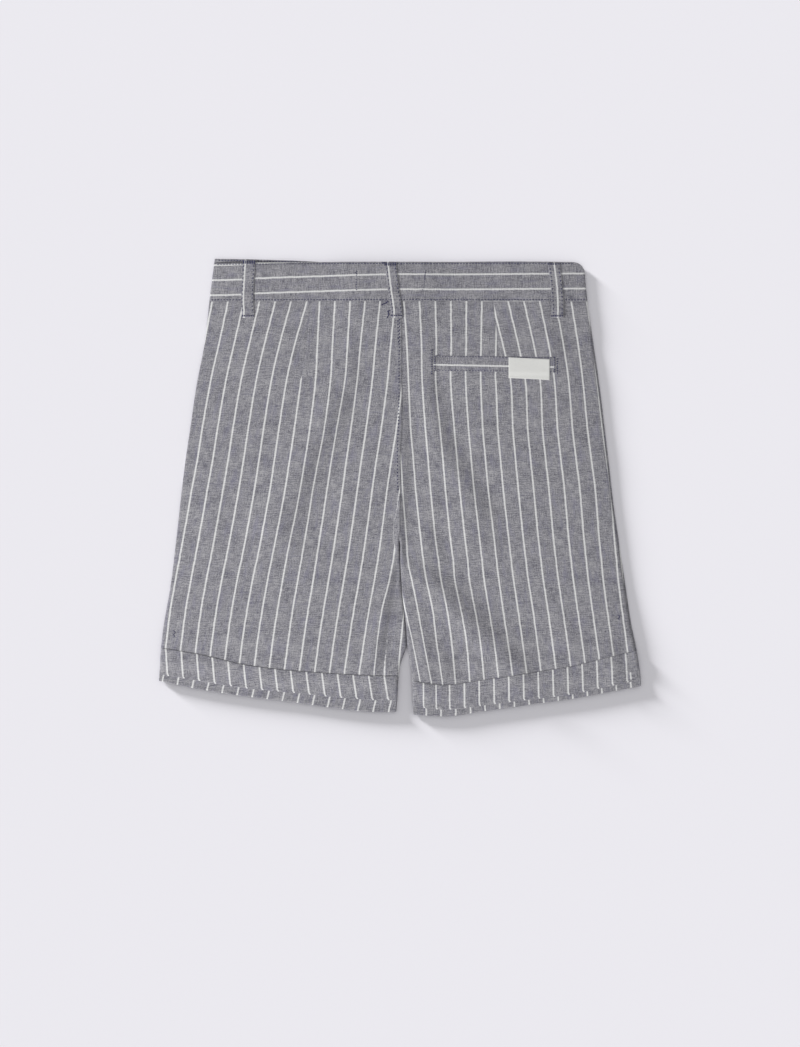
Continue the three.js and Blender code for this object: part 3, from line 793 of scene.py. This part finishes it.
def on_band(across, down):
    return across, float(front_dip(np.array(float(across)))) + down


fly = [(-29.5, 44), (-29.8, 90), (-29, 128), (-25.5, 146), (-18, 157), (-9, 163), (0.2, 166)]
button_row = BUTTON_DROP + 1.3
front_rows = [
    row(*fly, width=0.7),
    row(*[on_band(px, 4.5) for px in range(-156, 1, 6)], width=0.7),
    row(*[on_band(px, WAIST_SEAM - 1.2) for px in range(-160, 1, 6)], width=0.7),
    row(*[on_band(px, 4.5) for px in range(3, 152, 6)], width=0.7),
    row(*[on_band(px, WAIST_SEAM - 1.2) for px in range(3, 158, 6)], width=0.7),
    tack((BUTTON_X - 9, button_row - 2.6), (BUTTON_X + 9, button_row - 2.6), pitch=0.9),
    tack((BUTTON_X - 9, button_row), (BUTTON_X + 9, button_row), pitch=0.9),
]
sew("front_stitching", front_rows, front_face, lift=0)
loop_rows = []
for loop_x, start in zip(FRONT_LOOP_X, (3.4, 10.2)):
    loop_rows += [row((loop_x + e, start + 4), (loop_x + e, start + 43), pitch=3.4, width=0.7) for e in (-3.8, 3.8)]
    loop_rows += [tack((loop_x - 4.8, d), (loop_x + 4.8, d)) for d in (start + 1.5, start + 45.8)]
sew("front_belt_loop_stitching", loop_rows, lambda x, drop: 0.0 * x + 0.05, lift=0)

# BACK WAISTBAND. A doubled straight band cut along the stripes, topstitched along both edges, with
# two short rows that hold the ends of the elastic inside it.
WAIST_TOP = table(
    "share drop",
    [0, 3.4],
    [0.35, 3.0],
    [0.6, 3.0],
    [0.8, 2.6],
    [0.95, 2.9],
    [0.98, 3.4],
    [0.993, 5.8],
    [1, 9.5],
)
BAND_STRIPE = table(
    "x drop",
    [-160, 18.4],
    [-133, 17.8],
    [-124.5, 17.0],
    [-59, 14.9],
    [-8, 13.7],
    [51, 13.6],
    [124, 13.0],
    [160, 12.6],
)


def band_top(x, drop):
    left, right = read(OUTLINE, "side_left", drop), read(OUTLINE, "side_right", drop)
    top_edge = read(WAIST_TOP, "drop", (x - left) / (right - left))
    sewn = 0.12 * np.exp(-((drop - top_edge - 1.6) / 0.9) ** 2)
    sewn = sewn + 0.12 * np.exp(-((drop - WAIST_SEAM + 1.3) / 0.9) ** 2)
    ripple = 0.1 * np.sin(x / 1.9 + np.sin(x / 11)) * np.exp(-((drop - WAIST_SEAM) / 6) ** 2)
    return back_under(x, drop) + SOLID_WALL - sewn + ripple


shares = np.sort(np.concatenate([closer_at_ends(320, 1.8), [0.9955, 0.994, 0.992, 0.99]]))
share, down = np.meshgrid(shares, closer_at_ends(34, 1.3))
top_edge = read(WAIST_TOP, "drop", share)
drop = top_edge + (WAIST_SEAM - top_edge) * down
left, right = read(OUTLINE, "side_left", drop), read(OUTLINE, "side_right", drop)
x = left + (right - left) * share
top = band_top(x, drop)
floor = front_rise(x, drop) + 2 * WALL + 0.1
top = top - roll(x - left, 2.8, np.maximum(top - floor, 0)) - roll(right - x, 2.8, np.maximum(top - floor, 0))
peeping_past = ease((-50 - x) / 30)
top = top - roll(drop - top_edge, 0.9 + 2.1 * peeping_past, 0.4 + 0.6 * peeping_past)
top = top - roll(WAIST_SEAM - drop, 0.4, 0.06)
count = (drop - read(BAND_STRIPE, "drop", x)) / STRIPE_PITCH
# right of the middle the edge of one more stripe shows along the seam
edge_stripe = ease((x - 66) / 4) * ease((123 - x) / 4) * ease((drop - WAIST_SEAM + 1.1) / 0.4)
count = count + edge_stripe * (1.947 - count)
piece = cloth("back_waistband", x, drop, top, top - 1.0, count, x + 31)
lay(piece, "waistband_back")
top_row = [(x0, float(read(WAIST_TOP, "drop", np.array((x0 + 158) / 315))) + 1.5) for x0 in range(-156, 152, 4)]
sew(
    "waistband_stitching",
    [
        row(*top_row),
        row((-161, WAIST_SEAM - 1.4), (158.5, WAIST_SEAM - 1.4), width=0.74),
        row((-36.2, 10.8), (-37.9, 12.4), (-36.6, 13.4), (-37.3, 15.6), pitch=1.2, length=0.9, width=0.7),
        row((-37.3, 17), (-36.9, 27.5), pitch=2.2, length=0.9, width=0.8),
        row((-15.6, 3.6), (-3.2, 4.0), pitch=1.2, length=1.2, width=0.9),
        row((22, 10), (21.2, 14), (20.9, 18.6), pitch=1.1, length=1.1, width=0.55),
        row((20.9, 19.4), (20.3, 25.4), (18.6, 27.2), pitch=1.7, length=1.0, width=0.55),
    ],
    band_top,
)

# BELT LOOPS. Strips folded to a third and stitched down both edges, each with a stripe along it.
# Bar tacks hold them at the top edge and below the waist seam; the centre one sits aslant.
LOOPS = {
    "left": (table("drop x", [1.0, -127.8], [33, -129.5], [50.6, -128.9]), 10.4, -3.6, (-4.8, 3.8)),
    "centre": (table("drop x", [3, -8.3], [25, -5.7], [39, -3.6], [50.6, -2.6]), 10.0, -2.1, (-3.4, 3.8)),
    "right": (table("drop x", [3.3, 130.6], [22, 133], [35, 133.9], [50.6, 133.9]), 10.4, 0.2, (-3.8, 3.8)),
}
for side, (path, width, stripe_at, edge_rows) in LOOPS.items():
    start, end = path["drop"][0], path["drop"][-1]
    across, down = np.meshgrid(closer_at_ends(width, 1, (0.3, 0.7, 1.2)) - 0.5, closer_at_ends(end - start, 1.5))
    drop = start + (end - start) * down
    x = read(path, "x", drop) + across * width

    def loop_top(x, drop, start=start, end=end, path=path):
        t = np.clip((drop - start) / (end - start), 0, 1)
        off = np.abs(x - read(path, "x", drop))
        sewn = 0.12 * np.exp(-((off - 3.8) / 0.9) ** 2)
        return back_under(x, drop) + SOLID_WALL + 0.95 + 0.1 * np.sin(math.pi * t) - sewn

    top = loop_top(x, drop)
    top = top - roll((0.5 - np.abs(across)) * width, 1.2, 0.6)
    top = top - roll(drop - start, 1.4, 0.8) - roll(end - drop, 1.4, 0.8)
    count = (across * width - stripe_at) / STRIPE_PITCH
    piece = cloth("belt_loop_" + side, x, drop, top, top - 0.8, count, drop)
    lay(piece, "loop_back_" + side)
    inner = [[(float(read(path, "x", np.array(d))) + e, d) for d in np.linspace(start + 4, end - 4, 9)] for e in edge_rows]
    bar_drops = (start + 1.5, end - 1.8) if side == "right" else (start + 1.5, start + 2.9, end - 1.8)
    ends = [(float(read(path, "x", np.array(d))), d) for d in bar_drops]
    bars = [tack((bx - 5.6, d), (bx + 5.2, d)) for bx, d in ends]
    sew("belt_loop_stitching_" + side, [*(row(*line, pitch=3.4) for line in inner), *bars], loop_top)
# the centre loop's bar tack ends in a few loose turns of thread
ravel = [
    row((-15.7, 39.6), (-12.3, 38.3), (-10.2, 36.8), pitch=0.9, length=1.3, width=0.85),
    row((-8.1, 44.7), (-10.4, 45.0), (-9.4, 48.1), (-11.0, 50.7), pitch=0.9, length=1.3, width=0.85),
]
sew("centre_loop_thread_ends", ravel, back_top)

# WELT POCKET. One welt of the same cloth with its stripe lengthwise, edge-stitched all round, with
# a bar tack at each end, on the wearer's right.
WELT = {"left": 28.5, "right": 132.2, "top": 82.4, "bottom": 95.6, "slope": 0.014}


def welt_drop(x, share):
    return WELT["top"] + (WELT["bottom"] - WELT["top"]) * share + WELT["slope"] * (x - WELT["left"])


def welt_top(x, drop):
    share = (drop - welt_drop(x, 0)) / (WELT["bottom"] - WELT["top"])
    sewn = 0.1 * np.exp(-((share - 0.05) / 0.06) ** 2) + 0.1 * np.exp(-((share - 0.95) / 0.06) ** 2)
    return back_top(x, drop) + 0.38 - sewn


across, down = np.meshgrid(closer_at_ends(103.7, 1.8), closer_at_ends(13.2, 1.0, (0.3, 0.7, 1.2, 2.0)))
x = WELT["left"] + (WELT["right"] - WELT["left"]) * across
drop = welt_drop(x, down)
top = welt_top(x, drop)
edge = np.minimum(np.minimum(across, 1 - across) * 103.7, np.minimum(down, 1 - down) * 13.2)
top = top - roll(edge, 1.1, 0.35)
stripe = 0.60 + 0.05 * across
count = (down - stripe) * (WELT["bottom"] - WELT["top"]) / STRIPE_PITCH
piece = cloth("welt", x, drop, top, top - 0.8, count, x)
lay(piece, "pocket_welt")
ends = (WELT["left"] + 1.5, WELT["right"] - 1.5)
edges = [[(px, float(welt_drop(px, s))) for px in np.linspace(*ends, 12)] for s in (0.05, 0.95)]
edges = [row(*line, length=1.15, width=0.64) for line in edges]
tacks = [
    row((WELT["left"] - 1.3, 77.0), (WELT["left"] - 1.4, 99.0), pitch=2.0, length=1.25, width=0.95),
    row((WELT["left"] + 1.2, 82.5), (WELT["left"] + 1.0, 97.0), pitch=2.0, length=1.1, width=0.9),
    row((WELT["right"] - 0.9, 83.5), (WELT["right"] - 0.8, 98.0), pitch=2.0, length=1.1, width=0.9),
    row((WELT["right"] + 1.5, 84.5), (WELT["right"] + 1.6, 98.5), pitch=2.0, length=1.25, width=0.95),
]
sew("welt_stitching", edges, welt_top)
sew("welt_end_tacks", tacks, lambda x, drop: back_top(x, drop) + np.where(
    (x > WELT["left"]) & (x < WELT["right"]), 0.55, 0))

# LABEL. A bare off-white woven tape, its ends turned under and stitched down on the welt.
LABEL = {"left": 92.3, "right": 127.2, "top": 84.0, "bottom": 101.5, "slope": 0.05}
tape = finish_surface(
    "woven_tape",
    lambda wire: (
        wire.noise(wire.vector(
            wire.node("SeparateXYZ", {}, {0: wire.node("UVMap", {"uv_map": "threads"}, {})}, out=0) * 300.0,
            wire.node("SeparateXYZ", {}, {0: wire.node("UVMap", {"uv_map": "threads"}, {})}, out=1) * 30.0,
        ), detail=2).step(0.2, 0.8).mix((0.68, 0.68, 0.66, 1), (0.84, 0.84, 0.82, 1)),
        (wire.node("SeparateXYZ", {}, {0: wire.node("UVMap", {"uv_map": "threads"}, {})}, out=0) * 110.0).wave(),
        0.0002,
    ),
    roughness=0.85,
)


def label_top(x, drop):
    return back_top(x, drop) + 0.38 + 0.65


across, down = np.meshgrid(closer_at_ends(34.9, 1.2), closer_at_ends(17.5, 1.2))
x = LABEL["left"] + (LABEL["right"] - LABEL["left"]) * across
drop = LABEL["top"] + (LABEL["bottom"] - LABEL["top"]) * down + LABEL["slope"] * (x - LABEL["left"])
hanging = ease((drop - welt_drop(x, 1)) / 3)
top = label_top(x, drop) - 0.7 * hanging
edge = np.minimum(np.minimum(across, 1 - across) * 34.9, np.minimum(down, 1 - down) * 17.5)
top = top - roll(edge, 0.5, 0.3)
piece = cloth("label_tape", x, drop, top, top - 0.6, down * 17.5 / STRIPE_PITCH, x)
piece.data.materials.append(tape)
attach(piece, "root")
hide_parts("pocket_label")

# BACK TURN-UPS. The hems turned up on the outside, their free top edges standing a little off the
# leg, wrapped round the side seams and inseams.
for side in ("left", "right"):
    x, drop, from_side, from_middle, down = turn_up(side, "back")
    top = back_top(x, drop) + 0.85 + 0.2 * ease(down / 5)
    top = top - HEM_SAG * ease((down - 6) / 15)
    wrap = np.maximum(top - 1.7, 0)
    top = top - roll(from_side, 3.2, wrap) - roll(from_middle, 3.2, wrap)
    top = np.maximum(top - roll(down, 0.7, 0.35) - roll(23 - down, 1.0, 0.4), 1.7)
    stripes = stripe_count(CUFF_THREADS[side], x, drop) - 0.05 * ease((down - 21.3) / 0.9)
    piece = cloth("back_turn_up_" + side, x, drop, top, top - CUFF_WALL, stripes, drop)
    lay(piece, "cuff_back_" + side)

# BUTTON. A turned four-hole button in navy resin; its solid is already the right shape.
resin = finish_surface(
    "navy_resin",
    lambda wire: (
        wire.noise(wire.node("TexCoord", {}, {}, out=3), detail=3, scale=220)
        .step(0.3, 0.7)
        .mix((0.035, 0.038, 0.06, 1), (0.06, 0.065, 0.1, 1)),
        wire.noise(wire.node("TexCoord", {}, {}, out=3), detail=2, scale=600),
        0.00005,
    ),
    roughness=0.35,
)
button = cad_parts["button"]
button.data.materials.clear()
button.data.materials.append(resin)

# TABLE, LIGHT AND CAMERA. A pale lavender-grey table; a large soft window at the lower left
# lights the garment, a low lamp at the upper left lights the table round it, and the camera is straight above.
bpy.ops.object.select_all(action="DESELECT")
bpy.ops.mesh.primitive_plane_add(size=6, location=(0, 0, -0.0004))
floor = bpy.context.object
floor.name = "table_top"
floor.data.materials.append(finish_surface(
    "painted_table",
    lambda wire: (
        wire.noise(wire.node("TexCoord", {}, {}, out=3), detail=1, scale=2).mix(
            (0.835, 0.822, 0.868, 1), (0.83, 0.818, 0.866, 1)),
        wire.noise(wire.node("TexCoord", {}, {}, out=3), detail=1, scale=2),
        0.0,
    ),
    roughness=0.9,
))
world = bpy.data.worlds.new("studio")
bpy.context.scene.world = world
world.use_nodes = True
world.node_tree.nodes["Background"].inputs["Color"].default_value = (1, 1, 1, 1)
world.node_tree.nodes["Background"].inputs["Strength"].default_value = 0.60


def reach(light, piece, state):
    """The light reaches only the piece, or all but the piece."""
    lit = bpy.data.collections.new(light.name + "_reach")
    lit.objects.link(piece)
    lit.collection_objects[0].light_linking.link_state = state
    light.light_linking.receiver_collection = lit


bpy.ops.object.light_add(type="AREA", location=(-1.7, -1.0, 1.1))
window = bpy.context.object
window.name = "window_light"
window.rotation_euler = Vector((1.7, 1.0, -1.1)).to_track_quat("-Z", "Y").to_euler()
window.data.shape = "DISK"
window.data.size = 0.9
window.data.energy = 45
reach(window, floor, "EXCLUDE")
bpy.ops.object.light_add(type="SUN")
lamp = bpy.context.object
lamp.name = "table_lamp"
lamp.rotation_euler = Vector((0.78, -0.62, -0.12)).to_track_quat("-Z", "Y").to_euler()
lamp.data.energy = 10.4
lamp.data.angle = math.radians(9)
reach(lamp, floor, "INCLUDE")
bpy.ops.object.camera_add(location=(0.0, -0.0307, 2.476), rotation=(0, 0, 0))
camera = bpy.context.object
camera.data.lens = 100
camera.data.sensor_width = 36
bpy.context.scene.camera = camera
bpy.context.scene.view_settings.view_transform = "Standard"
